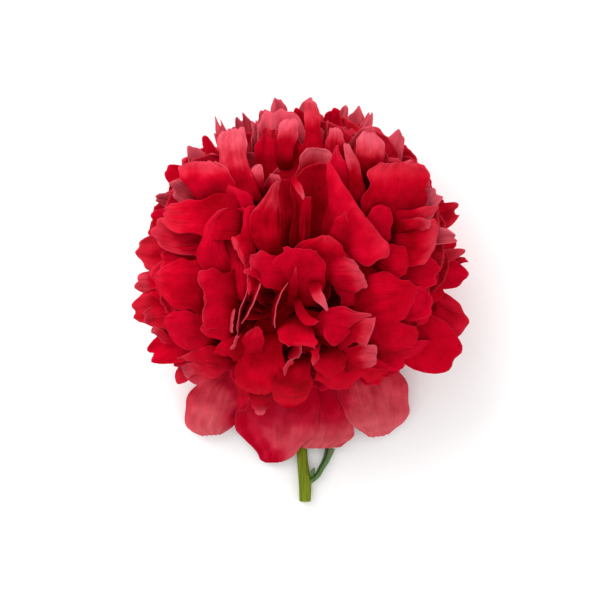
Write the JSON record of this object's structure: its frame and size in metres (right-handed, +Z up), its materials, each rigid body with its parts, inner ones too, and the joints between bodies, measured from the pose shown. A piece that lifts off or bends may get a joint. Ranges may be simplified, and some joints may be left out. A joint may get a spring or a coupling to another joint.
{
  "type": "cut peony bloom",
  "caption": "Full double red peony on a short cut stem with a side leaf, laid on a surface with its bloom facing up, for tables, vases and flower arrangements.",
  "frame": {"origin": "on the surface that the flower lies on, under the middle of its bounding box", "axes": "+Z up out of the surface, the way the bloom faces; the stem's cut end points to -Y; +X to the right of someone who looks down on the bloom with the stem towards them"},
  "size_m": [0.1501, 0.1847, 0.1001],
  "materials": {
    "crown_petals": "velvety",
    "guard_petals": "velvety",
    "calyx": "satin",
    "stem": "satin",
    "leaf": "satin"
  },
  "bodies": {
    "root": {"bloom": "crown_petals", "guard_petals": "guard_petals", "calyx": "calyx", "stem": "stem", "side_leaf": "leaf"}
  },
  "joints": []
}
